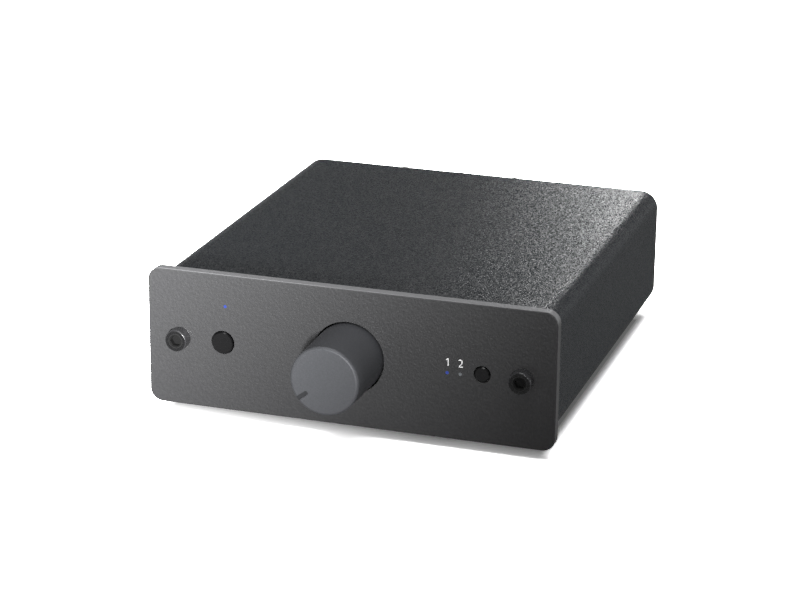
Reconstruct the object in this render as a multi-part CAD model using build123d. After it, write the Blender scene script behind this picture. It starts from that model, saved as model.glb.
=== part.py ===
# Phono preamp: a half-width rounded sleeve case clamped between a front and a rear panel,
# with a main board, an upright front board, front controls and rear sockets.
#
# Millimetres. X runs to the right seen from the front, Y from the front to the rear, Z up.
# The origin lies under the middle of the whole part, on the surface that it stands on.
from build123d import *
import os

# --- Case and panels -------------------------------------------------------------------
panel_width = 103.0
panel_height = 34.6
panel_thickness = 2.5
panel_corner_radius = 3.2
panel_edge_round = 0.3
side_overhang = 1.2          # front panel past the sleeve, each side
top_overhang = 1.7           # front panel past the sleeve, top and bottom
sleeve_length = 105.9
sleeve_wall = 1.2
sleeve_corner_radius = 4.6
rear_panel_thickness = 1.5
foot_height = 4.1
foot_radius = 5.0            # where it sticks to the sleeve
foot_tip_radius = 4.5
foot_tip_edge = 0.8
foot_side_inset = 13.0       # foot centre from the sleeve's side
foot_end_inset = 13.0        # foot centre from the sleeve's end

# --- Clearances ------------------------------------------------------------------------
seat_clearance = 0.02        # radial, where one fixed piece sits in another
running_clearance = 0.05     # radial, where a shaft or plunger runs in its hole
board_end_gap = 0.2          # main board to either panel
cutout_gap = 0.35            # round a socket in its panel hole

# --- Controls on the front panel -------------------------------------------------------
screw_side_inset = 8.2       # screw axis from the panel's side
power_button_inset = 11.2    # power button from the left screw
power_light_offset = 0.7     # power light to the right of its button
power_light_rise = 9.3
selector_inset = 9.9         # selector button from the right screw
first_light_inset = 8.6      # first input light from the selector button
light_pitch = 3.2
light_drop = 0.6

knob_hole_radius = 9.1
knob_radius = 8.7
knob_nose_radius = 8.5
knob_projection = 17.0       # knob face from the panel's face
knob_sink = 1.0              # knob rim inside the panel's hole
knob_edge_round = 0.7
knob_wall = 1.3
knob_cavity_depth = 9.0
knob_hub_radius = 5.2
pointer_width = 1.1
pointer_length = 3.4         # from the nose's rim inwards
pointer_depth = 0.45
pointer_angle = 217          # from +X, seen from the front, 13 degrees up from fully back

power_hole_radius = 3.0
power_cap_radius = 2.78
power_cap_proud = 0.5
power_out_travel = 1.8       # latched in at rest, out when off
power_in_travel = 0.7
selector_hole_radius = 2.1
selector_cap_radius = 1.88
selector_cap_proud = 0.3
selector_travel = 0.4
cap_edge = 0.25
selector_flange_radius = 2.9
selector_flange_thickness = 0.8
light_tip_radius = 0.4
light_guide_radius = 1.0

# --- M3 hex socket cap screws ----------------------------------------------------------
screw_radius = 1.5
screw_length = 8.0
screw_head_radius = 2.75
screw_head_height = 3.0
screw_key = 2.5
screw_key_depth = 1.6
screw_head_edge = 0.3
panel_screw_gap = 0.1        # radial, screw in the panel's hole

# --- Boards and brackets ---------------------------------------------------------------
board_thickness = 1.6
board_side_gap = 1.3         # main board to the sleeve's inner wall
board_corner_radius = 1.0
board_floor_gap = 2.5        # under the main board
front_board_gap = 12.0       # front panel's back to the front board
front_board_top_gap = 1.6    # under the sleeve's roof
front_board_side_gap = 1.0   # to the brackets
bracket_width = 7.0
bracket_leg = 3.0
bracket_foot = 2.4
bracket_foot_length = 9.0
bracket_bend = 1.5
bracket_above_screw = 4.0
board_screw_radius = 1.25
board_screw_head_radius = 2.2
board_screw_head_height = 1.4
board_screw_setback = 6.0    # from the panel to the board screw's axis
header_pins = 10
header_pitch = 2.54
header_pin_size = 0.64
header_strip_size = 2.5
header_rise = 0.6            # strip above the main board
header_bend_gap = 0.64       # strip to the pins' upright part

# --- Gain potentiometer ----------------------------------------------------------------
pot_width = 11.4
pot_height = 12.4
pot_depth = 11.0
pot_front_wall = 1.2
pot_back_wall = 0.8
pot_edge = 0.6
pot_cavity_radius = 4.9
pot_collar_radius = 4.5
pot_collar_length = 0.8
pot_shaft_radius = 3.0
pot_shaft_reach = 12.0       # shaft end from the panel's face
pot_flat = 1.5               # D flat from the shaft's axis
pot_flat_length = 8.0
pot_core_radius = 1.6
wafer_thickness = 1.0
wafer_bore_radius = 2.1
track_inner_radius = 3.0
track_outer_radius = 4.2
track_height = 0.15
track_gap_angle = 60         # missing from the ring, at the bottom
wiper_radius = 4.4
wiper_thickness = 0.9
wiper_gap = 0.25             # wiper disc to track
gangs = 2                    # left and right channel
gang_pitch = 4.2
first_wiper_gap = 0.4        # front wall to the first wiper disc

# --- Switches and lights on the front board --------------------------------------------
power_case_size = 8.0
power_case_depth = 8.0
power_plunger_radius = 1.5
power_plunger_grip = 2.6     # plunger inside the cap
power_collar_radius = 2.6
power_collar_thickness = 0.8
switch_wall = 1.0
switch_edge = 0.4
power_cavity_radius = 2.8
cap_tail = 1.5               # cap behind the panel
selector_case_size = 6.0
selector_case_depth = 3.5
selector_plunger_radius = 1.7
selector_plunger_length = 4.8
selector_cavity_radius = 2.3
selector_collar_radius = 2.1
selector_collar_thickness = 0.6
led_size = 2.0
led_thickness = 0.8

# --- Rear sockets ----------------------------------------------------------------------
socket_projection = 9.0
socket_radius = 4.15
socket_wall = 0.7
socket_tail = 2.0            # shell inside its housing
socket_rim = 0.35
socket_collar_radius = 4.7   # shell's collar in the panel
socket_collar_proud = 0.4
insulator_recess = 0.3
contact_recess = 0.8
contact_radius = 1.6
contact_wall = 0.35
contact_length = 8.0
contact_slot = 0.3
socket_housing_width = 12.5
socket_housing_depth = 12.5
socket_housing_edge = 0.6
socket_seat_height = 6.6     # lower socket's axis above the board
socket_roof_drop = 5.4       # upper socket's axis under the sleeve's roof
socket_roof_gap = 0.5
socket_pairs = 3
rear_screw_inset = 5.3       # rear screw axis from the sleeve's side

ground_inset = 8.8           # ground terminal from the left rear screw
stud_radius = 2.0
stud_projection = 8.5
stud_tail = 6.0
stud_flange_radius = 4.0
stud_flange_thickness = 1.0
ground_rest_gap = 0.3        # washer to flange
ground_washer_radius = 4.0
ground_washer_thickness = 0.8
thumb_nut_radius = 4.25
thumb_nut_length = 4.5
thumb_nut_collar_radius = 3.4
thumb_nut_collar = 0.8
thumb_nut_grooves = 20
thumb_nut_groove_depth = 0.3
inner_nut_width = 7.0
inner_nut_thickness = 2.4
tag_thickness = 0.5
tag_radius = 3.6
tag_length = 9.0
tag_width = 3.0

inlet_inset = 9.8            # power inlet from the right rear screw
inlet_width = 9.0
inlet_height = 11.0
inlet_depth = 14.0
inlet_axis_height = 6.6
inlet_nose_radius = 4.2
inlet_nose_proud = 0.2
inlet_bore_radius = 3.15
inlet_bore_depth = 9.5
inlet_pin_radius = 1.05
inlet_pin_length = 9.0
inlet_root_radius = 1.6      # pin's wider root in the case
inlet_root_length = 2.0

usb_inset = 13.2             # USB socket from the power inlet
usb_width = 12.0
usb_height = 10.9
usb_depth = 16.0
usb_proud = 0.3
usb_wall = 0.4
usb_mouth_width = 8.45
usb_mouth_height = 7.78
usb_mouth_bevel = 1.6
usb_mouth_depth = 9.0
usb_tongue_width = 5.6
usb_tongue_height = 3.2
usb_tongue_recess = 1.0

# --- Parts on the main board -----------------------------------------------------------
part_gap = 2.0               # sockets to the first row of parts
row_pitch = 12.0
film_width = 7.2
film_depth = 3.5
film_height = 7.5
film_pitch = 6.0
film_rows = 4
film_edge = 0.5
amp_width = 6.4
amp_length = 9.3
amp_height = 3.3
amp_standoff = 0.5
amp_leg = 0.5
amp_legs = 4                 # along each side
amp_leg_pitch = 2.54
relay_width = 7.5
relay_length = 10.0
relay_height = 9.6
relay_edge = 0.5
chip_size = 10.0
chip_height = 1.4
chip_edge = 0.2
chip_legs = 11
chip_leg_pitch = 0.8
chip_leg_width = 0.35
chip_leg_reach = 1.0
crystal_length = 10.2
crystal_width = 4.3
crystal_height = 3.6
small_can_radius = 4.0
small_can_height = 11.5
large_can_radius = 5.0
large_can_height = 16.0
can_groove = 0.4
can_groove_rise = 1.6
can_top_round = 0.5
regulator_width = 10.0
regulator_depth = 4.4
regulator_height = 9.2
regulator_tab_height = 6.3
regulator_tab_thickness = 1.3
regulator_hole_radius = 1.8
regulator_standoff = 3.0
regulator_leg = 0.8
regulator_leg_pitch = 2.54
inductor_radius = 4.5
inductor_height = 5.0
inductor_flange = 1.0
inductor_waist_radius = 3.4

# --- Levels and planes worked out from the above ---------------------------------------
sleeve_width = panel_width - 2 * side_overhang
sleeve_height = panel_height - 2 * top_overhang
sleeve_bottom = foot_height
sleeve_middle = sleeve_bottom + sleeve_height / 2
sleeve_floor = sleeve_bottom + sleeve_wall
sleeve_roof = sleeve_bottom + sleeve_height - sleeve_wall
control_height = sleeve_middle
screw_place = panel_width / 2 - screw_side_inset
power_button_place = power_button_inset - screw_place
power_light_place = power_button_place + power_light_offset
selector_place = screw_place - selector_inset
first_light_place = selector_place - first_light_inset
rear_screw_place = sleeve_width / 2 - rear_screw_inset
ground_place = ground_inset - rear_screw_place
inlet_place = rear_screw_place - inlet_inset
usb_place = inlet_place - usb_inset
board_width = sleeve_width - 2 * sleeve_wall - 2 * board_side_gap
board_bottom = sleeve_floor + board_floor_gap
board_top = board_bottom + board_thickness

whole_length = knob_projection + panel_thickness + sleeve_length + rear_panel_thickness + socket_projection
panel_front = knob_projection - whole_length / 2
panel_back = panel_front + panel_thickness
rear_inner = panel_back + sleeve_length
rear_face = rear_inner + rear_panel_thickness
board_front = panel_back + board_end_gap
board_rear = rear_inner - board_end_gap
front_board_front = panel_back + front_board_gap
front_board_rear = front_board_front + board_thickness
lower_socket_height = board_top + socket_seat_height
upper_socket_height = sleeve_roof - socket_roof_drop
inlet_height_axis = board_top + inlet_axis_height
socket_bay = ground_place + stud_flange_radius
socket_pitch = (usb_place - usb_width / 2 - socket_bay) / socket_pairs
socket_places = [socket_bay + (i + 0.5) * socket_pitch for i in range(socket_pairs)]
socket_heights = (lower_socket_height, upper_socket_height)
parts_rear = rear_inner - socket_housing_depth - part_gap
pot_front = front_board_front - pot_depth
light_places = (
    (power_light_place, control_height + power_light_rise),
    (first_light_place, control_height - light_drop),
    (first_light_place + light_pitch, control_height - light_drop),
)
bracket_spots = (
    (-screw_place, panel_back, 1),
    (screw_place, panel_back, 1),
    (-rear_screw_place, rear_inner, -1),
    (rear_screw_place, rear_inner, -1),
)


def row(i):
    """Y of a row of board parts, counted forward from the sockets."""
    return parts_rear - row_pitch * (i + 0.5)


def columns():
    """X of the columns of board parts, with equal gaps between them."""
    amp_span = amp_width + 2 * amp_leg
    chip_span = chip_size + 2 * chip_leg_reach
    widths = [film_width, film_width, amp_span, amp_span, chip_span, chip_span]
    widths += [2 * small_can_radius, 2 * large_can_radius]
    gap = (board_width - sum(widths)) / (len(widths) + 1)
    places = []
    edge = -board_width / 2
    for width in widths:
        places.append(edge + gap + width / 2)
        edge += gap + width
    return places


# --- Small helpers ---------------------------------------------------------------------
def slab(outline, front, rear):
    """Extrude an X-Z outline from one Y to another."""
    plane = Plane(origin=(0, rear, 0), x_dir=(1, 0, 0), z_dir=(0, -1, 0))
    return extrude(plane * outline, rear - front)


def rod(x, z, radius, front, rear):
    """Round bar along Y."""
    return slab(Pos(x, z) * Circle(radius), front, rear)


def bar(x, z, width, height, front, rear):
    """Rectangular bar along Y."""
    return slab(Pos(x, z) * Rectangle(width, height), front, rear)


def post(x, y, radius, low, high):
    """Upright round bar."""
    return Pos(x, y, low) * extrude(Circle(radius), high - low)


def block(x, y, low, width, length, height):
    """Box that stands on a level."""
    return Pos(x, y, low + height / 2) * Box(width, length, height)


def front_rim(solid):
    """Edges of the foremost face."""
    return solid.faces().sort_by(Axis.Y)[0].edges()


def rear_rim(solid):
    """Edges of the rearmost face."""
    return solid.faces().sort_by(Axis.Y)[-1].edges()


def save(name, *solids):
    """Write one node, as one solid or as a group of separate ones."""
    shape = solids[0] if len(solids) == 1 else Compound(children=list(solids))
    export_step(shape, f"parts/{name}.step")


# --- Case ------------------------------------------------------------------------------
def case_sleeve():
    outer = RectangleRounded(sleeve_width, sleeve_height, sleeve_corner_radius)
    inner = RectangleRounded(
        sleeve_width - 2 * sleeve_wall,
        sleeve_height - 2 * sleeve_wall,
        sleeve_corner_radius - sleeve_wall,
    )
    return slab(Pos(0, sleeve_middle) * (outer - inner), panel_back, rear_inner)


def front_panel():
    outline = RectangleRounded(panel_width, panel_height, panel_corner_radius)
    plate = slab(Pos(0, sleeve_middle) * outline, panel_front, panel_back)
    plate = fillet(front_rim(plate), panel_edge_round)
    plate -= rod(0, control_height, knob_hole_radius, panel_front, panel_back)
    plate -= rod(power_button_place, control_height, power_hole_radius, panel_front, panel_back)
    plate -= rod(selector_place, control_height, selector_hole_radius, panel_front, panel_back)
    for x in (-screw_place, screw_place):
        plate -= rod(x, control_height, screw_radius + panel_screw_gap, panel_front, panel_back)
    for x, z in light_places:
        plate -= rod(x, z, light_tip_radius + seat_clearance, panel_front, panel_back)
    return plate


def rear_panel():
    outline = RectangleRounded(sleeve_width, sleeve_height, sleeve_corner_radius)
    plate = slab(Pos(0, sleeve_middle) * outline, rear_inner, rear_face)
    for x in socket_places:
        for z in socket_heights:
            plate -= rod(x, z, socket_collar_radius + cutout_gap, rear_inner, rear_face)
    for x in (-rear_screw_place, rear_screw_place):
        plate -= rod(x, control_height, screw_radius + panel_screw_gap, rear_inner, rear_face)
    plate -= rod(ground_place, lower_socket_height, stud_radius + panel_screw_gap, rear_inner, rear_face)
    plate -= rod(inlet_place, inlet_height_axis, inlet_nose_radius + cutout_gap, rear_inner, rear_face)
    plate -= bar(
        usb_place,
        board_top + usb_height / 2,
        usb_width + 2 * cutout_gap,
        usb_height + 2 * cutout_gap,
        rear_inner,
        rear_face,
    )
    return plate


def foot(x, y):
    pad = Pos(x, y, foot_height / 2) * Cone(foot_tip_radius, foot_radius, foot_height)
    return chamfer(pad.faces().sort_by(Axis.Z)[0].edges(), foot_tip_edge)


def feet():
    side = sleeve_width / 2 - foot_side_inset
    front = panel_back + foot_end_inset
    rear = rear_inner - foot_end_inset
    return [foot(x, y) for x in (-side, side) for y in (front, rear)]


def socket_screw(x, z, seat, inward):
    """Cap screw that clamps a face at y = seat and runs inward (+1 to the rear, -1 to the front)."""
    head = extrude(Circle(screw_head_radius), screw_head_height)
    head = fillet(head.faces().sort_by(Axis.Z)[-1].edges(), screw_head_edge)
    key = RegularPolygon(screw_key / 2, 6, major_radius=False)
    head -= Pos(0, 0, screw_head_height - screw_key_depth) * extrude(key, screw_key_depth)
    mouth = Cone(screw_key / 2 - screw_head_edge, screw_key / 2 + screw_head_edge, 2 * screw_head_edge)
    head -= Pos(0, 0, screw_head_height - screw_head_edge) * mouth
    shank = Pos(0, 0, -screw_length) * extrude(Circle(screw_radius), screw_length)
    shank = chamfer(shank.faces().sort_by(Axis.Z)[0].edges(), screw_head_edge)
    screw = head + shank
    return Pos(x, seat, z) * Rot(90 * inward, 0, 0) * screw


def angle_bracket(x, face, inward):
    """Bent angle: the leg stands against a panel, the foot lies on the main board."""
    top = control_height + bracket_above_screw
    corner = (face + inward * bracket_leg, board_top + bracket_foot)
    outline = Polyline(
        (face, board_top),
        (face + inward * bracket_foot_length, board_top),
        (face + inward * bracket_foot_length, board_top + bracket_foot),
        corner,
        (face + inward * bracket_leg, top),
        (face, top),
        close=True,
    )
    profile = make_face(outline)
    inner = profile.vertices().sort_by_distance((corner[0], corner[1], 0))[0]
    profile = fillet(inner, bracket_bend)
    body = extrude(Plane.YZ.offset(x - bracket_width / 2) * profile, bracket_width)
    ends = sorted((face, face + inward * bracket_leg))
    body -= rod(x, control_height, screw_radius + seat_clearance, *ends)
    y = face + inward * board_screw_setback
    body -= post(x, y, board_screw_radius + seat_clearance, board_top, board_top + bracket_foot)
    return body


def board_screw(x, face, inward):
    y = face + inward * board_screw_setback
    head = post(x, y, board_screw_head_radius, board_bottom - board_screw_head_height, board_bottom)
    head = chamfer(head.faces().sort_by(Axis.Z)[0].edges(), board_screw_head_height / 3)
    return head + post(x, y, board_screw_radius, board_bottom, board_top + bracket_foot)


# --- Boards ----------------------------------------------------------------------------
def header_pin_places():
    start = -header_pitch * (header_pins - 1) / 2
    return [start + i * header_pitch for i in range(header_pins)]


def main_board():
    length = board_rear - board_front
    outline = RectangleRounded(board_width, length, board_corner_radius)
    plate = Pos(0, (board_front + board_rear) / 2, board_bottom) * extrude(outline, board_thickness)
    for x, face, inward in bracket_spots:
        y = face + inward * board_screw_setback
        plate -= post(x, y, board_screw_radius + panel_screw_gap, board_bottom, board_top)
    for x in header_pin_places():
        plate -= post(x, header_bend(), header_pin_size, board_bottom, board_top)
    return plate


def header_bend():
    """Y where the header's pins turn down."""
    return front_board_rear + header_strip_size + header_bend_gap + header_pin_size / 2


def header_height():
    """Z of the header's level pins."""
    return board_top + header_rise + header_strip_size / 2


def front_board():
    width = 2 * (screw_place - bracket_width / 2 - front_board_side_gap)
    top = sleeve_roof - front_board_top_gap
    middle = (board_top + top) / 2
    plate = bar(0, middle, width, top - board_top, front_board_front, front_board_rear)
    for x in header_pin_places():
        plate -= rod(x, header_height(), header_pin_size, front_board_front, front_board_rear)
    return plate


def board_header():
    """Right-angle pin strip that carries the front board's signals to the main board."""
    z = header_height()
    bend = header_bend()
    width = header_pins * header_pitch
    rear = front_board_rear + header_strip_size
    strip = bar(0, z, width, header_strip_size, front_board_rear, rear)
    pins = []
    for x in header_pin_places():
        strip -= rod(x, z, header_pin_size, front_board_rear, rear)
        level = bar(
            x,
            z,
            header_pin_size,
            header_pin_size,
            front_board_front - header_pin_size,
            bend + header_pin_size / 2,
        )
        low = board_bottom - header_pin_size
        down = block(x, bend, low, header_pin_size, header_pin_size, z - low)
        pins.append(level + down)
    return [strip] + pins


# --- Gain potentiometer and knob -------------------------------------------------------
def wiper_front(gang):
    return pot_front + pot_front_wall + first_wiper_gap + gang * gang_pitch


def wafer_front(gang):
    return wiper_front(gang) + wiper_thickness + wiper_gap + track_height


def gain_pot_case():
    case = bar(0, control_height, pot_width, pot_height, pot_front, front_board_front)
    case = chamfer(case.edges().filter_by(Axis.Y), pot_edge)
    case += rod(0, control_height, pot_collar_radius, pot_front - pot_collar_length, pot_front)
    case -= rod(
        0,
        control_height,
        pot_shaft_radius + running_clearance,
        pot_front - pot_collar_length,
        pot_front + pot_front_wall,
    )
    case -= rod(
        0,
        control_height,
        pot_cavity_radius,
        pot_front + pot_front_wall,
        front_board_front - pot_back_wall,
    )
    return case


def gain_pot_tracks():
    """Fixed wafers, each with a raised C-shaped resistive track."""
    wafers = []
    for gang in range(gangs):
        front = wafer_front(gang)
        ring = Circle(pot_cavity_radius - seat_clearance) - Circle(wafer_bore_radius)
        wafer = slab(Pos(0, control_height) * ring, front, front + wafer_thickness)
        middle = (track_inner_radius + track_outer_radius) / 2
        start = track_gap_angle / 2 - 90
        arc = CenterArc((0, 0), middle, start, 360 - track_gap_angle)
        band = trace(arc, track_outer_radius - track_inner_radius)
        track = slab(Pos(0, control_height) * band, front - track_height, front)
        wafers.append(wafer + track)
    return wafers


def shaft_tip():
    return panel_front - pot_shaft_reach


def d_section(radius, flat):
    """Round section with a flat towards the pointer."""
    across = Rectangle(2 * radius, radius + flat, align=(Align.CENTER, Align.MIN))
    section = Circle(radius) & Pos(0, -radius) * across
    return Rot(0, 0, pointer_angle - 90) * section


def gain_pot_shaft():
    tip = shaft_tip()
    shaft = rod(0, control_height, pot_shaft_radius, tip + pot_flat_length, pot_front + pot_front_wall)
    section = Pos(0, control_height) * d_section(pot_shaft_radius, pot_flat)
    shaft += slab(section, tip, tip + pot_flat_length)
    core_end = wafer_front(gangs - 1) + wafer_thickness
    shaft += rod(0, control_height, pot_core_radius, pot_front + pot_front_wall, core_end)
    return shaft


def gain_pot_wipers():
    """Rotor discs on the shaft, each with a contact nib over its track."""
    discs = []
    middle = (track_inner_radius + track_outer_radius) / 2
    for gang in range(gangs):
        front = wiper_front(gang)
        ring = Circle(wiper_radius) - Circle(pot_core_radius + seat_clearance)
        disc = slab(Pos(0, control_height) * ring, front, front + wiper_thickness)
        disc += rod(
            0,
            control_height + middle,
            track_height * 3,
            front + wiper_thickness,
            front + wiper_thickness + wiper_gap / 2,
        )
        discs.append(disc)
    return discs


def gain_knob():
    """Turned knob: slight taper, hollow skirt, hub with a D bore, pointer groove out to the rim."""
    face = panel_front - knob_projection
    rim = panel_front + knob_sink
    length = rim - face
    base = Plane(origin=(0, rim, control_height), x_dir=(1, 0, 0), z_dir=(0, -1, 0))
    nose = Plane(origin=(0, face, control_height), x_dir=(1, 0, 0), z_dir=(0, -1, 0))
    knob = loft([base * Circle(knob_radius), nose * Circle(knob_nose_radius)])
    knob = fillet(front_rim(knob), knob_edge_round)
    cavity = Circle(knob_radius - knob_wall) - Circle(knob_hub_radius)
    knob -= extrude(base * cavity, knob_cavity_depth)
    bore_end = shaft_tip() - 2 * seat_clearance
    wide = pot_shaft_radius + seat_clearance
    knob -= rod(0, control_height, wide, shaft_tip() + pot_flat_length, rim)
    section = Pos(0, control_height) * d_section(wide, pot_flat + seat_clearance)
    knob -= slab(section, bore_end, shaft_tip() + pot_flat_length)
    collar_room = pot_collar_radius + 2 * running_clearance
    knob -= rod(0, control_height, collar_room, panel_front + knob_sink - length / 8, rim)
    open_slot = SlotOverall(pointer_length + pointer_width, pointer_width)
    groove = Pos(knob_nose_radius + (pointer_width - pointer_length) / 2, 0) * open_slot
    groove = Pos(0, control_height) * Rot(0, 0, pointer_angle) * groove
    knob -= slab(groove, face, face + pointer_depth)
    return knob


# --- Power button and switch -----------------------------------------------------------
def power_case_front():
    return front_board_front - power_case_depth


def power_button_cap():
    x = power_button_place
    cap = rod(x, control_height, power_cap_radius, panel_front - power_cap_proud, panel_back + cap_tail)
    cap = chamfer(front_rim(cap), cap_edge)
    cap -= rod(
        x,
        control_height,
        power_plunger_radius + seat_clearance,
        panel_back + cap_tail - power_plunger_grip,
        panel_back + cap_tail,
    )
    return cap


def power_plunger():
    """Plunger with the collar that stops the outward travel inside the switch."""
    x = power_button_place
    inside = power_case_front() + switch_wall + power_out_travel + 2 * running_clearance
    start = panel_back + cap_tail - power_plunger_grip
    end = front_board_front - switch_wall - power_in_travel - 2 * running_clearance
    plunger = rod(x, control_height, power_plunger_radius, start, end)
    collar = rod(x, control_height, power_collar_radius, inside, inside + power_collar_thickness)
    return plunger + collar


def power_switch_case():
    x = power_button_place
    front = power_case_front()
    size = power_case_size
    case = bar(x, control_height, size, size, front, front_board_front)
    case = chamfer(case.edges().filter_by(Axis.Y), switch_edge)
    hole = power_plunger_radius + running_clearance
    case -= rod(x, control_height, hole, front, front + switch_wall)
    rear = front_board_front - switch_wall
    case -= rod(x, control_height, power_cavity_radius, front + switch_wall, rear)
    return case


# --- Selector button and switch --------------------------------------------------------
def selector_case_front():
    return front_board_front - selector_case_depth


def selector_button_cap():
    """Loose cap: its flange behind the panel keeps it in, and it rests on the switch's plunger."""
    x = selector_place
    flange_front = panel_back + running_clearance
    flange_rear = flange_front + selector_flange_thickness
    cap = rod(x, control_height, selector_cap_radius, panel_front - selector_cap_proud, flange_front)
    cap = chamfer(front_rim(cap), cap_edge)
    cap += rod(x, control_height, selector_flange_radius, flange_front, flange_rear)
    tail = selector_case_front() - selector_plunger_length
    cap += rod(x, control_height, selector_cap_radius, flange_rear, tail)
    return cap


def selector_plunger():
    x = selector_place
    front = selector_case_front()
    inside = front + switch_wall / 2
    tip = front - selector_plunger_length
    plunger = rod(x, control_height, selector_plunger_radius, tip, inside)
    collar_rear = inside + selector_collar_thickness
    return plunger + rod(x, control_height, selector_collar_radius, inside, collar_rear)


def selector_switch_case():
    x = selector_place
    front = selector_case_front()
    inside = front + switch_wall / 2 - running_clearance
    size = selector_case_size
    case = bar(x, control_height, size, size, front, front_board_front)
    case = chamfer(case.edges().filter_by(Axis.Y), switch_edge)
    case -= rod(x, control_height, selector_plunger_radius + running_clearance, front, inside)
    depth = selector_collar_thickness + selector_travel + 3 * running_clearance
    case -= rod(x, control_height, selector_cavity_radius, inside, inside + depth)
    return case


# --- Lights ----------------------------------------------------------------------------
def status_led(x, z):
    return bar(x, z, led_size, led_size, front_board_front - led_thickness, front_board_front)


def light_guide(x, z):
    """Clear rod from a light on the front board to the panel, with a thin tip through the panel."""
    guide = rod(x, z, light_guide_radius, panel_back, front_board_front - led_thickness)
    return guide + rod(x, z, light_tip_radius, panel_front, panel_back)


# --- Phono sockets ---------------------------------------------------------------------
def socket_housing(x):
    low = board_top
    high = sleeve_roof - socket_roof_gap
    front = rear_inner - socket_housing_depth
    body = bar(x, (low + high) / 2, socket_housing_width, high - low, front, rear_inner)
    body = chamfer(front_rim(body), socket_housing_edge)
    for z in socket_heights:
        body -= rod(x, z, socket_collar_radius + seat_clearance, rear_inner - socket_tail, rear_inner)
    return body


def socket_shell(x, z):
    tip = rear_face + socket_projection
    shell = chamfer(rear_rim(rod(x, z, socket_radius, rear_face, tip)), socket_rim)
    shell += rod(x, z, socket_collar_radius, rear_inner - socket_tail, rear_face + socket_collar_proud)
    return shell - rod(x, z, socket_radius - socket_wall, rear_inner - socket_tail, tip)


def socket_insulator(x, z):
    tip = rear_face + socket_projection - insulator_recess
    tube = contact_radius + contact_wall + seat_clearance
    body = rod(x, z, socket_radius - socket_wall - seat_clearance, rear_inner - socket_tail, tip)
    start = rear_face + socket_projection - contact_recess - contact_length
    return body - rod(x, z, tube, start, tip)


def socket_contact(x, z):
    """Sprung centre contact: a thin tube split by two slots."""
    tip = rear_face + socket_projection - contact_recess
    start = tip - contact_length
    tube = rod(x, z, contact_radius + contact_wall, start, tip)
    tube -= rod(x, z, contact_radius, start, tip)
    width = 2 * (contact_radius + contact_wall)
    return tube - bar(x, z, width, contact_slot, start + contact_length / 4, tip)


# --- Ground terminal -------------------------------------------------------------------
def flange_outer():
    return rear_face + stud_flange_thickness


def washer_front():
    return flange_outer() + ground_rest_gap


def nut_front():
    return washer_front() + ground_washer_thickness


def ground_stud():
    x = ground_place
    z = lower_socket_height
    stud = rod(x, z, stud_radius, rear_inner - stud_tail, rear_face + stud_projection)
    stud = chamfer(rear_rim(stud), cap_edge)
    flange = slab(Pos(x, z) * RegularPolygon(stud_flange_radius, 6), rear_face, flange_outer())
    return stud + flange


def ground_tag():
    """Solder tag: a ring under the inner nut with a tail that bends away."""
    x = ground_place
    z = lower_socket_height
    outline = Circle(tag_radius) + Pos(0, tag_length / 2) * Rectangle(tag_width, tag_length)
    tag = slab(Pos(x, z) * outline, rear_inner - tag_thickness, rear_inner)
    return tag - rod(x, z, stud_radius + seat_clearance, rear_inner - tag_thickness, rear_inner)


def ground_inner_nut():
    x = ground_place
    z = lower_socket_height
    rear = rear_inner - tag_thickness
    front = rear - inner_nut_thickness
    hexagon = RegularPolygon(inner_nut_width / 2, 6, major_radius=False)
    nut = slab(Pos(x, z) * hexagon, front, rear)
    return nut - rod(x, z, stud_radius + seat_clearance, front, rear)


def ground_washer():
    x = ground_place
    z = lower_socket_height
    ring = Circle(ground_washer_radius) - Circle(stud_radius + 3 * running_clearance)
    return slab(Pos(x, z) * ring, washer_front(), nut_front())


def ground_thumb_nut():
    """Knurled nut with a plain collar towards the washer."""
    x = ground_place
    z = lower_socket_height
    front = nut_front()
    rear = front + thumb_nut_length
    nut = rod(x, z, thumb_nut_collar_radius, front, front + thumb_nut_collar)
    grip = rod(x, z, thumb_nut_radius, front + thumb_nut_collar, rear)
    grip = chamfer(rear_rim(grip), thumb_nut_groove_depth)
    for i in range(thumb_nut_grooves):
        turn = Location((x, 0, z)) * Rot(0, 360 * i / thumb_nut_grooves, 0)
        grip -= turn * rod(thumb_nut_radius, 0, thumb_nut_groove_depth, front + thumb_nut_collar, rear)
    nut += grip
    return nut - rod(x, z, stud_radius + running_clearance, front, rear)


# --- Power inlet and USB socket --------------------------------------------------------
def inlet_mouth():
    return rear_face + inlet_nose_proud


def dc_inlet_case():
    x = inlet_place
    z = inlet_height_axis
    middle = board_top + inlet_height / 2
    case = bar(x, middle, inlet_width, inlet_height, rear_inner - inlet_depth, rear_inner)
    case = chamfer(front_rim(case), cap_edge)
    nose = rod(x, z, inlet_nose_radius, rear_inner, inlet_mouth())
    case += chamfer(rear_rim(nose), cap_edge)
    case -= rod(x, z, inlet_bore_radius, inlet_mouth() - inlet_bore_depth, inlet_mouth())
    root = inlet_mouth() - inlet_bore_depth
    return case - rod(x, z, inlet_root_radius + seat_clearance, root - inlet_root_length, root)


def dc_inlet_pin():
    x = inlet_place
    z = inlet_height_axis
    root = inlet_mouth() - inlet_bore_depth
    pin = chamfer(rear_rim(rod(x, z, inlet_pin_radius, root, root + inlet_pin_length)), inlet_pin_radius / 2)
    return pin + rod(x, z, inlet_root_radius, root - inlet_root_length, root)


def usb_shell():
    x = usb_place
    z = board_top + usb_height / 2
    front = rear_inner - usb_depth
    rear = rear_face + usb_proud
    shell = bar(x, z, usb_width, usb_height, front, rear)
    shell = fillet(shell.edges().filter_by(Axis.Y), usb_wall)
    inner_width = usb_width - 2 * usb_wall
    inner_height = usb_height - 2 * usb_wall
    return shell - bar(x, z, inner_width, inner_height, front + usb_wall, rear)


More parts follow.
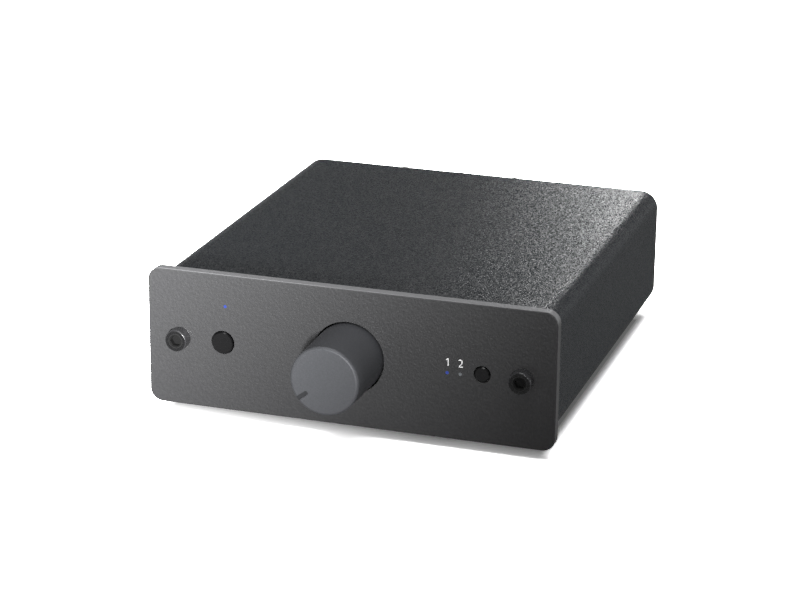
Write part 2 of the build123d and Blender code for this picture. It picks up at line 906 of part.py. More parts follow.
def usb_insert():
    """Plastic insert: a mouth with two bevelled upper corners round a contact tongue."""
    x = usb_place
    z = board_top + usb_height / 2
    slack = usb_wall + seat_clearance
    front = rear_inner - usb_depth + slack
    rear = rear_face + usb_proud
    insert = bar(x, z, usb_width - 2 * slack, usb_height - 2 * slack, front, rear)
    mouth = Rectangle(usb_mouth_width, usb_mouth_height)
    mouth = chamfer(mouth.vertices().sort_by(Axis.Y)[-2:], usb_mouth_bevel)
    tongue = Rectangle(usb_tongue_width, usb_tongue_height)
    bottom = rear - usb_mouth_depth
    insert -= slab(Pos(x, z) * mouth, bottom, rear)
    return insert + slab(Pos(x, z) * tongue, bottom, rear - usb_tongue_recess)


# --- Parts on the main board -----------------------------------------------------------
def film_capacitor(x, y):
    body = block(x, y, board_top, film_width, film_depth, film_height)
    return chamfer(body.edges().filter_by(Axis.Z) + body.faces().sort_by(Axis.Z)[-1].edges(), film_edge)


def film_capacitors():
    start = row(0) - row_pitch / 2 - film_depth / 2
    rows = [start - i * film_pitch for i in range(film_rows)]
    return [film_capacitor(x, y) for x in columns()[:2] for y in rows]


def op_amp(x, y):
    """Eight-leg package standing on its legs."""
    body = block(x, y, board_top + amp_standoff, amp_width, amp_length, amp_height)
    notch = Pos(x, y - amp_length / 2, board_top + amp_standoff + amp_height) * Cylinder(amp_leg, amp_leg)
    body -= notch
    reach = amp_width / 2 + amp_leg / 2
    for side in (-1, 1):
        for i in range(amp_legs):
            leg_y = y + (i - (amp_legs - 1) / 2) * amp_leg_pitch
            body += block(
                x + side * reach,
                leg_y,
                board_top,
                amp_leg,
                amp_leg,
                amp_standoff + amp_height / 2,
            )
    return body


def relay(x, y):
    body = block(x, y, board_top, relay_width, relay_length, relay_height)
    return chamfer(body.edges().filter_by(Axis.Z) + body.faces().sort_by(Axis.Z)[-1].edges(), relay_edge)


def flat_chip(x, y):
    """Square flat package with straight legs along all four sides."""
    body = block(x, y, board_top + chip_edge, chip_size, chip_size, chip_height)
    body = chamfer(body.faces().sort_by(Axis.Z)[-1].edges(), chip_edge)
    reach = (chip_size + chip_leg_reach) / 2
    for i in range(chip_legs):
        along = (i - (chip_legs - 1) / 2) * chip_leg_pitch
        for side in (-1, 1):
            spot = (x + side * reach, y + along)
            body += block(*spot, board_top, chip_leg_reach, chip_leg_width, chip_edge * 2)
            spot = (x + along, y + side * reach)
            body += block(*spot, board_top, chip_leg_width, chip_leg_reach, chip_edge * 2)
    return body


def crystal(x, y):
    """Low oblong can on a thin flange."""
    flange = extrude(SlotOverall(crystal_length, crystal_width), chip_edge * 2)
    inset = 2 * chip_edge
    can = extrude(SlotOverall(crystal_length - inset, crystal_width - inset), crystal_height)
    can = chamfer(can.faces().sort_by(Axis.Z)[-1].edges(), chip_edge * 2)
    return Pos(x, y, board_top) * (flange + can)


def can_capacitor(x, y, radius, height):
    """Radial can with a rolled groove near its base."""
    with_edge = Polyline(
        (0, 0),
        (radius, 0),
        (radius, can_groove_rise - can_groove),
        (radius - can_groove, can_groove_rise),
        (radius, can_groove_rise + can_groove),
        (radius, height - can_top_round),
        (radius - can_top_round, height),
        (0, height),
        close=True,
    )
    can = revolve(Plane.XZ * make_face(with_edge), Axis.Z)
    return Pos(x, y, board_top) * can


def filter_capacitors():
    small_column, large_column = columns()[-2:]
    large = [can_capacitor(large_column, row(i), large_can_radius, large_can_height) for i in (1, 2)]
    small = [can_capacitor(small_column, row(i), small_can_radius, small_can_height) for i in (1, 2, 3)]
    return large + small


def regulator(x, y):
    """Upright three-leg regulator: moulded body in front of a metal tab."""
    low = board_top + regulator_standoff
    back = y + regulator_depth / 2
    body = block(x, y, low, regulator_width, regulator_depth, regulator_height)
    tab_y = back - regulator_tab_thickness / 2
    tab_low = low + regulator_height
    tab = block(x, tab_y, tab_low, regulator_width, regulator_tab_thickness, regulator_tab_height)
    hole_height = tab_low + regulator_tab_height / 2
    tab -= rod(x, hole_height, regulator_hole_radius, back - regulator_tab_thickness, back)
    body += tab
    for i in (-1, 0, 1):
        leg_x = x + i * regulator_leg_pitch
        body += block(leg_x, y, board_top, regulator_leg, regulator_leg, regulator_standoff)
    return body


def inductor(x, y):
    """Drum core: two flanges and a wound waist."""
    bobbin = post(x, y, inductor_radius, board_top, board_top + inductor_flange)
    top = board_top + inductor_height
    bobbin += post(x, y, inductor_waist_radius, board_top, top)
    return bobbin + post(x, y, inductor_radius, top - inductor_flange, top)


def build():
    os.makedirs("parts", exist_ok=True)
    save("case_sleeve", case_sleeve())
    save("front_panel", front_panel())
    save("rear_panel", rear_panel())
    save("feet", *feet())
    front_screws = [socket_screw(x, control_height, panel_front, 1) for x in (-screw_place, screw_place)]
    save("front_panel_screws", *front_screws)
    rear_places = (-rear_screw_place, rear_screw_place)
    save("rear_panel_screws", *[socket_screw(x, control_height, rear_face, -1) for x in rear_places])
    save("front_brackets", *[angle_bracket(*spot) for spot in bracket_spots[:2]])
    save("rear_brackets", *[angle_bracket(*spot) for spot in bracket_spots[2:]])
    save("board_screws", *[board_screw(*spot) for spot in bracket_spots])

    save("main_board", main_board())
    save("front_board", front_board())
    save("board_header", *board_header())

    save("gain_knob", gain_knob())
    save("gain_pot_shaft", gain_pot_shaft())
    save("gain_pot_wipers", *gain_pot_wipers())
    save("gain_pot_tracks", *gain_pot_tracks())
    save("gain_pot_case", gain_pot_case())
    save("power_button_cap", power_button_cap())
    save("power_switch_plunger", power_plunger())
    save("power_switch_case", power_switch_case())
    save("selector_button_cap", selector_button_cap())
    save("selector_switch_plunger", selector_plunger())
    save("selector_switch_case", selector_switch_case())

    save("power_led", status_led(*light_places[0]))
    save("input_leds", *[status_led(*place) for place in light_places[1:]])
    names = ("power_light_guide", "input_light_guide_1", "input_light_guide_2")
    for name, place in zip(names, light_places):
        save(name, light_guide(*place))

    names = ("phono_in_housing", "line_in_housing", "line_out_housing")
    for name, x in zip(names, socket_places):
        save(name, socket_housing(x))
    spots = [(x, z) for x in socket_places for z in socket_heights]
    save("socket_shells", *[socket_shell(*spot) for spot in spots])
    save("socket_contacts", *[socket_contact(*spot) for spot in spots])
    save("left_insulators", *[socket_insulator(x, upper_socket_height) for x in socket_places])
    save("right_insulators", *[socket_insulator(x, lower_socket_height) for x in socket_places])

    save("ground_stud", ground_stud())
    save("ground_tag", ground_tag())
    save("ground_inner_nut", ground_inner_nut())
    save("ground_washer", ground_washer())
    save("ground_thumb_nut", ground_thumb_nut())
    save("dc_inlet_case", dc_inlet_case())
    save("dc_inlet_pin", dc_inlet_pin())
    save("usb_shell", usb_shell())
    save("usb_insert", usb_insert())

    save("film_capacitors", *film_capacitors())
    places = columns()
    save("op_amps", *[op_amp(x, row(i)) for x in places[2:4] for i in (1, 2)])
    save("relays", *[relay(x, row(0)) for x in socket_places[:2]])
    save("converter_chip", flat_chip(places[4], row(2)))
    save("crystal", crystal(places[4], row(1)))
    save("usb_chip", flat_chip(places[5], row(1)))
    save("regulators", *[regulator(x, row(3)) for x in (places[5], places[7])])
    save("filter_capacitors", *filter_capacitors())
    save("inductor", inductor(places[7], row(0)))


build()
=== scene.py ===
"""Looks, stage and camera for a small phono preamp, laid out as a Blender add-on."""

import math

import bmesh
import bpy
from bpy.props import FloatProperty, FloatVectorProperty, IntProperty, PointerProperty
from bpy.types import Operator, Panel, PropertyGroup
from mathutils import Matrix, Vector


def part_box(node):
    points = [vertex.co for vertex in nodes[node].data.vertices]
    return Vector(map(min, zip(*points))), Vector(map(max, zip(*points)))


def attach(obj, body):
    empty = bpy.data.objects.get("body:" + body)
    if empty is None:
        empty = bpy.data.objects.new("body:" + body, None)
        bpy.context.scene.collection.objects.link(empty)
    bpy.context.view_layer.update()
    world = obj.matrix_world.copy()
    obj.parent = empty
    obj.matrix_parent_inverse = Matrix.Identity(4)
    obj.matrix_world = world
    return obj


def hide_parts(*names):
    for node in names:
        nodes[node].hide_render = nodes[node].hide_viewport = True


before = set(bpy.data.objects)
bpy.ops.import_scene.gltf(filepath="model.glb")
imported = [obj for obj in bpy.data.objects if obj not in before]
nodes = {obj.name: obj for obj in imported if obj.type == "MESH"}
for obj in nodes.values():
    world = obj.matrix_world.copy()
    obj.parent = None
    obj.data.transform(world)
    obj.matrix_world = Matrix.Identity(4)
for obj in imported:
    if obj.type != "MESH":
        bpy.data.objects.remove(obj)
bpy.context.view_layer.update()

bl_info = {
    "name": "Phono Preamp",
    "version": (1, 0, 0),
    "blender": (4, 5, 0),
    "location": "View3D > Sidebar > Preamp",
    "description": "Gives a small phono preamp its finishes, its digits and a studio",
    "category": "Object",
}

MM = 0.001
WAVE_PERIOD = 0.314  # length of one wave of a Wave texture whose scale is 1
HEADER_STRIP = 2.5 * MM  # thickness of the plastic strip that holds the header pins
CHIP_LEG_TOP = 0.4 * MM  # how far the chips' legs rise over the main board
REGULATOR_LEGS = 3 * MM  # how far the regulators' bodies stand over the main board
REGULATOR_TOP = 12.2 * MM  # where the regulators' bodies end and only their metal tabs go on
NO_END = 1.0  # past the end of every piece, in metres


def middle(node):
    """Middle of a CAD node's box."""
    low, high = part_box(node)
    return (low + high) / 2


PANEL_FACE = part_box("front_panel")[0].y
KNOB_AXIS = middle("gain_knob")
STUD_LOW, STUD_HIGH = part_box("ground_stud")
STUD_AXIS = middle("ground_stud")
BOARD_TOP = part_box("main_board")[1].z


def linear(code):
    """Linear RGBA of an sRGB hex colour."""
    channels = (int(code[i : i + 2], 16) / 255 for i in (1, 3, 5))
    values = (c / 12.92 if c <= 0.04045 else ((c + 0.055) / 1.055) ** 2.4 for c in channels)
    return (*values, 1.0)


def shade(colour, factor):
    """A colour made darker or lighter."""
    return (*(min(1.0, c * factor) for c in colour[:3]), 1.0)


# --- Settings --------------------------------------------------------------------------
def coat(name, description, code):
    """Setting for a colour, from its hex code."""
    return FloatVectorProperty(
        name=name,
        description=description,
        default=linear(code),
        subtype="COLOR",
        size=4,
        min=0,
        max=1,
    )


def span(name, description, millimetres):
    """Setting for a length."""
    return FloatProperty(
        name=name, description=description, default=millimetres * MM, unit="LENGTH", precision=5
    )


def turn(name, description, degrees):
    """Setting for an angle."""
    return FloatProperty(
        name=name, description=description, default=math.radians(degrees), subtype="ANGLE"
    )


def level(name, description, strength):
    """Setting for a plain strength."""
    return FloatProperty(name=name, description=description, default=strength, min=0)


def power(name, description, watts):
    """Setting for a lamp's power."""
    return FloatProperty(name=name, description=description, default=watts, unit="POWER", min=0)


class PreampFinish(PropertyGroup):
    """Colours and grain of the preamp's surfaces."""

    case_black: coat("Case", "Fine-textured black powder coat of the sleeve", "#212427")
    case_grain: span("Case grain", "Size of one grain of the powder coat", 0.24)
    case_sparkle: level("Case sparkle", "How far the grains of the powder coat lean apart", 0.34)
    panel_anthracite: coat("Front panel", "Satin anthracite coat of the front panel", "#323233")
    # Pale rim colour: a thin coat on the sanded edge, and also a painted highlight along the top.
    rim_coat_and_highlight: coat("Panel rim", "Thin coat over the front panel's sanded edge", "#7c7c7e")
    panel_peel: span("Panel peel", "Size of one wave of the panel's orange peel", 0.7)
    knob_grey: coat("Knob", "Dark anodised aluminium of the knob", "#454649")
    knob_turning: span("Knob turning", "Pitch of the lathe marks on the knob", 0.16)
    # Painted shade: the pointer groove's floor below this depth is darkened.
    pointer_shade_depth: span("Pointer depth", "Depth at which the pointer's dark floor starts", 0.3)
    button_black: coat("Buttons", "Moulded ABS of both button caps", "#09090a")
    screw_black: coat("Screws", "Black oxide on the hex socket screws", "#151516")
    # Painted highlight: the paler knurl colour stands in for light from above on the head's side.
    screw_knurl_highlight: coat("Screw knurl", "Black oxide on the knurl of the screw heads", "#3c3c3e")
    lit_blue: coat("Lit light", "Blue of a light that is on", "#3d50a8")
    unlit_grey: coat("Unlit light", "Clear acrylic of a light that is off", "#74777b")
    ink_white: coat("Ink", "Screen-printed white ink of the digits", "#fafafa")
    left_white: coat("Left sockets", "Insulators of the left channel", "#e9e8e2")
    right_red: coat("Right sockets", "Insulators of the right channel", "#b5161b")
    nickel: coat("Nickel", "Plated sockets, nuts and pins", "#cfc8bb")
    brass: coat("Brass", "Spring contacts and solder tag", "#c9a75c")
    zinc: coat("Zinc", "Brackets, board screws and the control's shaft", "#b9bcc0")
    mould_black: coat("Black plastic", "Socket housings, switches and chips", "#1b1b1c")
    foot_rubber: coat("Feet", "Moulded rubber of the feet", "#161616")
    mask_green: coat("Main board", "Green solder mask of the main board", "#0f4a2c")
    # Black solder mask, chosen dark as painted shade so the gap round the knob shows dark.
    front_mask_gap_shade: coat("Front board", "Black solder mask of the upright board", "#0e0f0f")


class PreampMarks(PropertyGroup):
    """Sizes of the printed digits and of the terminal's thread."""

    digit_height: span("Digit height", "Height of the digits over the input lights", 1.95)
    digit_rise: span("Digit rise", "Middle of the digits above the input lights", 2.7)
    digit_spread: span("Digit spread", "Second digit's step to the right of its light", 0.1)
    ink_thickness: span("Ink thickness", "How far the ink stands on the panel", 0.02)
    stud_radius: span("Stud radius", "Outside of the ground terminal's M4 thread", 2.0)
    flange_thickness: span("Flange", "Thickness of the ground terminal's hex flange", 1.0)
    thread_pitch: span("Thread pitch", "Pitch of the ground terminal's M4 thread", 0.7)
    thread_depth: span("Thread depth", "Depth of the ground terminal's M4 thread", 0.35)
    thread_steps: IntProperty(
        name="Thread steps", description="Steps in one turn of the thread", default=36, min=12
    )


class PreampStage(PropertyGroup):
    """Camera, floor and lamps."""

    camera_place: FloatVectorProperty(
        name="Camera place",
        description="Where the camera stands",
        default=(0.186702, -0.587372, 0.230016),
        subtype="TRANSLATION",
        unit="LENGTH",
        precision=5,
    )
    camera_azimuth: turn("Azimuth", "Camera's turn to the left from straight ahead", 17.95)
    camera_elevation: turn("Elevation", "How far the camera looks down", 19.0)
    camera_roll: turn("Roll", "Camera's turn about its own axis", 0.6)
    camera_lens: FloatProperty(
        name="Lens", description="Focal length on a 36 mm sensor", default=114.09, unit="CAMERA"
    )
    floor_reach: span("Floor reach", "Half the floor's side", 4000)
    floor_grey: coat("Floor", "Matt grey paper of the floor, as it lights the preamp", "#888888")
    floor_gain: level("Floor gain", "Paleness of the paper under the preamp to the camera", 0.55)
    floor_burn: level("Floor burn", "Paleness of the burnt out paper to the camera", 7.0)
    front_inset: span("Front inset", "Start of the burn, behind the front panel's face", 7)
    front_burn: span("Front burn", "Distance over which the paper burns out to the front", 20)
    side_inset: span("Side inset", "Start of the burn, in from the sleeve's sides and rear", 3.7)
    side_burn: span("Side burn", "Distance over which the paper burns out to the sides", 6)
    floor_lift: level("Floor lift", "White that the paper adds to its own shadow", 0.05)
    shadow_reach: span("Shadow reach", "How far from the middle the paper keeps a shadow", 400)
    sky_level: level("Sky", "Strength of the even light over the white horizon", 0.12)
    overhead_level: level("Overhead", "Strength of the broad light over the preamp", 2.1)
    front_power: power("Front", "Lamp whose soft edge falls off along the front panel", 650)
    side_power: power("Side", "Soft low lamp on the right side of the sleeve", 12.5)
    back_power: power("Behind", "Lamp that rakes the top from behind", 3.3)


# --- Nodes and materials ---------------------------------------------------------------
def add(tree, kind, inputs=None, **settings):
    """Add a shader node: settings are its options, inputs are plain values or sockets to link."""
    node = tree.nodes.new("ShaderNode" + kind)
    for name, value in settings.items():
        setattr(node, name, value)
    for name, value in (inputs or {}).items():
        if isinstance(value, bpy.types.NodeSocket):
            tree.links.new(value, node.inputs[name])
        else:
            node.inputs[name].default_value = value
    return node


def finish(name, **values):
    """New material: itself, its tree, its Principled shader and the object's coordinates."""
    material = bpy.data.materials.new(name)
    material.use_nodes = True
    tree = material.node_tree
    tree.nodes.clear()
    plain = {key.replace("_", " "): value for key, value in values.items()}
    shader = add(tree, "BsdfPrincipled", plain)
    add(tree, "OutputMaterial", {"Surface": shader.outputs["BSDF"]})
    return material, tree, shader, add(tree, "TexCoord").outputs["Object"]


def link(tree, shader, **sockets):
    """Link sockets to the shader's inputs, whose names have _ for a space."""
    for name, socket in sockets.items():
        tree.links.new(socket, shader.inputs[name.replace("_", " ")])


def mottle(tree, place, size, dark, light, detail=2.0):
    """Noise of a real size and the colour that it spreads between a dark and a light one."""
    least, most = 0.3, 0.7  # the noise hardly ever leaves this range
    noise = add(tree, "TexNoise", {"Vector": place, "Scale": 1 / size, "Detail": detail})
    spread = add(
        tree, "MapRange", {"Value": noise.outputs["Fac"], "From Min": least, "From Max": most}
    ).outputs["Result"]
    mix = add(tree, "Mix", {0: spread, 6: dark, 7: light}, data_type="RGBA")
    return spread, mix.outputs[2]


def wear(material, *names):
    """Put a material on CAD nodes, in place of the plain one they came with."""
    for name in names:
        for slot in nodes[name].material_slots:
            slot.material = material


def sand_powder_coat(look):
    # Polyester powder coat with a fine sand texture, sprayed and baked: every grain is a small
    # satin facet with its own lean, so raking light breaks up into sparks over a soft black.
    # The grain is drawn a little coarser than the real one so that it shows.
    material, tree, shader, place = finish(
        "sand_powder_coat", Roughness=0.38, IOR=1.5, Specular_IOR_Level=0.1
    )
    base = look.case_black
    spread, tone = mottle(tree, place, look.case_grain, shade(base, 0.4), shade(base, 1.7), 3.0)
    grains = add(tree, "TexVoronoi", {"Vector": place, "Scale": 1 / look.case_grain})
    lean = add(
        tree, "VectorMath", {0: grains.outputs["Color"], 1: (0.5,) * 3}, operation="SUBTRACT"
    ).outputs["Vector"]
    normal = add(tree, "NewGeometry").outputs["Normal"]
    leaning = add(
        tree,
        "VectorMath",
        {0: lean, 1: (look.case_sparkle,) * 3, 2: normal},
        operation="MULTIPLY_ADD",
    ).outputs["Vector"]
    facet = add(tree, "VectorMath", {0: leaning}, operation="NORMALIZE").outputs["Vector"]
    bump = add(
        tree,
        "Bump",
        {"Height": spread, "Strength": 1.0, "Distance": 0.025 * MM, "Normal": facet},
    )
    link(tree, shader, Base_Color=tone, Normal=bump.outputs["Normal"])
    return material


def satin_panel_coat(look):
    # Satin wet paint on an aluminium plate: a fine orange peel with waves of under a millimetre
    # and a broad soft sheen. The rim is painted paler, partly for the thin coat over its sanded
    # edge and partly as a painted highlight from the light above, so it is palest along the top
    # edge.
    face, rim_edge = -0.93, -0.5  # the normal's Y where the rim starts and where it is full
    # Painted highlight: the pale rim shows fully on the top edge and only partly on the sides and
    # bottom.
    rim_share_below_top = 0.12  # how much of the rim shows on the sides and the bottom
    material, tree, shader, place = finish(
        "satin_panel_coat", Roughness=0.42, IOR=1.5, Specular_IOR_Level=0.3
    )
    base = look.panel_anthracite
    spread, tone = mottle(tree, place, look.panel_peel, shade(base, 0.92), shade(base, 1.09))
    fine = add(tree, "TexNoise", {"Vector": place, "Scale": 3 / look.panel_peel, "Detail": 1.0})
    height = add(tree, "Math", {0: spread, 1: fine.outputs["Fac"]}, operation="ADD")
    bump = add(
        tree,
        "Bump",
        {"Height": height.outputs["Value"], "Strength": 0.75, "Distance": 0.04 * MM},
    )
    facing = add(tree, "SeparateXYZ", {"Vector": add(tree, "TexCoord").outputs["Normal"]}).outputs
    # Painted highlight: surfaces that face up get the full pale rim colour, as if lit from above.
    top_highlight = add(
        tree, "MapRange", {"Value": facing["Z"], "To Min": rim_share_below_top, "To Max": 1.0}
    ).outputs["Result"]
    rim = add(
        tree,
        "MapRange",
        {"Value": facing["Y"], "From Min": face, "From Max": rim_edge, "To Max": top_highlight},
    ).outputs["Result"]
    colour = add(tree, "Mix", {0: rim, 6: tone, 7: look.rim_coat_and_highlight}, data_type="RGBA")
    link(tree, shader, Base_Color=colour.outputs[2], Normal=bump.outputs["Normal"])
    return material


def anodised_knob(look):
    # Turned aluminium, bead blasted and anodised dark grey: a fine satin with faint rings from
    # the lathe, drawn coarser than the real ones so that they show. The floor of the pointer
    # groove is darkened with painted shade.
    material, tree, shader, place = finish(
        "anodised_knob", Metallic=0.2, Roughness=0.5, Specular_IOR_Level=0.25
    )
    front_facing = -0.9  # the normal's Y on a surface that faces forward
    centred = add(tree, "Mapping", {"Vector": place, "Location": -KNOB_AXIS}).outputs["Vector"]
    rings = add(
        tree,
        "TexWave",
        {"Vector": centred, "Scale": WAVE_PERIOD / look.knob_turning, "Distortion": 0.4},
        wave_type="RINGS",
        rings_direction="Y",
    )
    base = look.knob_grey
    spread, tone = mottle(tree, place, 0.3 * MM, shade(base, 0.93), shade(base, 1.07))
    height = add(tree, "Math", {0: spread, 1: rings.outputs["Fac"]}, operation="ADD")
    bump = add(
        tree,
        "Bump",
        {"Height": height.outputs["Value"], "Strength": 0.25, "Distance": 0.01 * MM},
    )
    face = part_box("gain_knob")[0].y
    along = add(tree, "SeparateXYZ", {"Vector": place}).outputs["Y"]
    normal = add(tree, "TexCoord").outputs["Normal"]
    facing = add(tree, "SeparateXYZ", {"Vector": normal}).outputs["Y"]
    # Painted shade: the groove's floor, deeper than this and facing forward, gets a darker copy of
    # the knob grey.
    sunk = add(tree, "Math", {0: along, 1: face + look.pointer_shade_depth}, operation="GREATER_THAN")
    front = add(tree, "Math", {0: facing, 1: front_facing}, operation="LESS_THAN")
    floor = add(
        tree, "Math", {0: sunk.outputs["Value"], 1: front.outputs["Value"]}, operation="MULTIPLY"
    ).outputs["Value"]
    colour = add(tree, "Mix", {0: floor, 6: tone, 7: shade(base, 0.4)}, data_type="RGBA")
    link(tree, shader, Base_Color=colour.outputs[2], Normal=bump.outputs["Normal"])
    return material


def black_oxide(look, node):
    # Black oxide on cold-headed alloy steel: near black and a little glossy. The knurl round each
    # head is painted paler as a highlight from the light above, and the hex socket with its lead-in
    # is dull, with painted shade.
    lead_in = (0.6, 0.68)  # start and end of the lead-in's edge, in radii of the head
    shoulder = (0.9, 0.98)  # start and end of the knurl's edge, in radii of the head
    # Painted shade: the socket and its lead-in keep only this part of the face's colour.
    socket_shade = 0.15  # how much of the face's colour is left in the socket
    material, tree, shader, place = finish(f"{node}_black_oxide", Metallic=0.3)
    base = look.screw_black
    spread, tone = mottle(tree, place, 0.4 * MM, shade(base, 0.8), shade(base, 1.25))
    film = add(
        tree, "MapRange", {"Value": spread, "To Min": 0.18, "To Max": 0.32}
    ).outputs["Result"]
    bump = add(tree, "Bump", {"Height": spread, "Strength": 0.15, "Distance": 0.01 * MM})
    low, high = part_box(node)
    head = (high.z - low.z) / 2
    axis = (high.x - head, 0, high.z - head)
    mirrored = add(tree, "VectorMath", {0: place}, operation="ABSOLUTE").outputs["Vector"]
    across = add(tree, "VectorMath", {0: mirrored, 1: axis}, operation="SUBTRACT").outputs["Vector"]
    flat = add(
        tree, "VectorMath", {0: across, 1: (1, 0, 1)}, operation="MULTIPLY"
    ).outputs["Vector"]
    out = add(tree, "VectorMath", {0: flat}, operation="LENGTH").outputs["Value"]
    socket_shade_mask, knurl = (
        add(
            tree,
            "MapRange",
            {"Value": out, "From Min": start * head, "From Max": end * head, "To Min": least},
        ).outputs["Result"]
        for (start, end), least in ((lead_in, socket_shade), (shoulder, 0.0))
    )
    # Painted shade: the face's colour is darkened inside the socket.
    face = add(
        tree, "VectorMath", {0: tone, "Scale": socket_shade_mask}, operation="SCALE"
    ).outputs["Vector"]
    # Painted highlight: the knurl gets a paler colour, as if lit from above.
    colour = add(tree, "Mix", {0: knurl, 6: face, 7: look.screw_knurl_highlight}, data_type="RGBA")
    rough = add(
        tree, "MapRange", {"Value": socket_shade_mask, "From Min": socket_shade, "To Min": 0.9, "To Max": film}
    )
    link(
        tree,
        shader,
        Base_Color=colour.outputs[2],
        Roughness=rough.outputs["Result"],
        Normal=bump.outputs["Normal"],
    )
    return material


def moulded_plastic(name, base, roughness, grain, gloss=0.5):
    # Injection-moulded ABS or nylon: an even colour with the fine spark-eroded grain of its mould,
    # drawn coarser than the real one so that it shows.
    material, tree, shader, place = finish(
        name, Roughness=roughness, IOR=1.46, Specular_IOR_Level=gloss
    )
    spread, tone = mottle(tree, place, grain, shade(base, 0.9), shade(base, 1.1))
    bump = add(tree, "Bump", {"Height": spread, "Strength": 0.2, "Distance": 0.02 * MM})
    link(tree, shader, Base_Color=tone, Normal=bump.outputs["Normal"])
    return material


def plated_metal(name, base, roughness, grain):
    # Bright electroplate over turned or pressed metal: a mirror that the base's fine marks soften.
    material, tree, shader, place = finish(name, Metallic=1.0)
    spread, tone = mottle(tree, place, grain, shade(base, 0.93), shade(base, 1.05))
    rough = add(
        tree, "MapRange", {"Value": spread, "To Min": 0.75 * roughness, "To Max": 1.3 * roughness}
    )
    bump = add(tree, "Bump", {"Height": spread, "Strength": 0.1, "Distance": 0.005 * MM})
    link(
        tree,
        shader,
        Base_Color=tone,
        Roughness=rough.outputs["Result"],
        Normal=bump.outputs["Normal"],
    )
    return material


def zinc_plate(look):
    # Passivated zinc on pressed steel: a pale grey with millimetre crystals, called spangle.
    material, tree, shader, place = finish("zinc_plate", Metallic=1.0)
    crystal = 1.2 * MM
    cells = add(tree, "TexVoronoi", {"Vector": place, "Scale": 1 / crystal})
    fleck = add(tree, "SeparateColor", {"Color": cells.outputs["Color"]}).outputs["Red"]
    base = look.zinc
    tone = add(tree, "Mix", {0: fleck, 6: shade(base, 0.8), 7: base}, data_type="RGBA")
    rough = add(tree, "MapRange", {"Value": fleck, "To Min": 0.28, "To Max": 0.42})
    link(tree, shader, Base_Color=tone.outputs[2], Roughness=rough.outputs["Result"])
    return material


def foot_rubber(look):
    # Moulded silicone rubber: dull, with a bloom of fine dust.
    material, tree, shader, place = finish("foot_rubber", Roughness=0.75, IOR=1.42)
    base = look.foot_rubber
    spread, tone = mottle(tree, place, 0.6 * MM, base, shade(base, 1.5))
    bump = add(tree, "Bump", {"Height": spread, "Strength": 0.3, "Distance": 0.03 * MM})
    link(tree, shader, Base_Color=tone, Normal=bump.outputs["Normal"])
    return material


def light_guide(name, tint, glow, strength):
    # Clear cast acrylic rod with a matt end: it carries its light to the panel, with a faint
    # random mottle in its brightness.
    material, tree, shader, place = finish(name, Roughness=0.2, IOR=1.49)
    spread, tone = mottle(tree, place, 0.25 * MM, shade(tint, 0.85), tint)
    light = add(tree, "Mix", {0: spread, 6: shade(glow, 0.75), 7: glow}, data_type="RGBA")
    shader.inputs["Emission Strength"].default_value = strength
    link(tree, shader, Base_Color=tone, Emission_Color=light.outputs[2])
    return material


def solder_mask(name, base):
    # Glass-epoxy board under a glossy solder mask: copper tracks show as raised, lighter lines
    # about half a millimetre apart, and the bare laminate as the darker ground.
    bundle = 5 * MM  # size of a bundle of tracks
    rows = 9.0  # tracks across that size
    half_row = 0.5  # from the middle of a gap to the middle of a track
    gap_edge, track_edge = 0.2, 0.26  # where a gap ends and its track starts, on that half row
    material, tree, shader, place = finish(name, Roughness=0.3, IOR=1.5)
    cells = add(
        tree,
        "TexVoronoi",
        {"Vector": place, "Scale": 1 / bundle, "Randomness": 0.85},
        distance="MANHATTAN",
        feature="F1",
    )
    tracks = add(tree, "Math", {0: cells.outputs["Distance"], 1: rows}, operation="MULTIPLY")
    lines = add(
        tree, "Math", {0: tracks.outputs["Value"], 1: half_row}, operation="PINGPONG"
    ).outputs["Value"]
    copper = add(
        tree, "MapRange", {"Value": lines, "From Min": gap_edge, "From Max": track_edge}
    ).outputs["Result"]
    tone = add(tree, "Mix", {0: copper, 6: shade(base, 0.7), 7: shade(base, 1.7)}, data_type="RGBA")
    bump = add(tree, "Bump", {"Height": copper, "Strength": 0.4, "Distance": 0.035 * MM})
    link(tree, shader, Base_Color=tone.outputs[2], Normal=bump.outputs["Normal"])
    return material


def leaded(name, body, metal, axis, start, end, roughness):
    # Epoxy-moulded body, matt and near black, with bright leads: everything outside the body's
    # stretch of one axis is metal.
    material, tree, shader, place = finish(name, IOR=1.5)
    along = add(tree, "SeparateXYZ", {"Vector": place}).outputs[axis]
    after = add(tree, "Math", {0: along, 1: start}, operation="GREATER_THAN")
    before = add(tree, "Math", {0: along, 1: end}, operation="LESS_THAN")
    inside = add(
        tree, "Math", {0: after.outputs["Value"], 1: before.outputs["Value"]}, operation="MULTIPLY"
    ).outputs["Value"]
    spread, tone = mottle(tree, place, 0.3 * MM, shade(body, 0.85), shade(body, 1.2))
    base = add(tree, "Mix", {0: inside, 6: metal, 7: tone}, data_type="RGBA")
    metallic = add(tree, "Math", {0: 1.0, 1: inside}, operation="SUBTRACT")
    rough = add(tree, "MapRange", {"Value": inside, "To Min": 0.3, "To Max": roughness})
    bump = add(tree, "Bump", {"Height": spread, "Strength": 0.15, "Distance": 0.02 * MM})
    link(
        tree,
        shader,
        Base_Color=base.outputs[2],
        Metallic=metallic.outputs["Value"],
        Roughness=rough.outputs["Result"],
        Normal=bump.outputs["Normal"],
    )
    return material


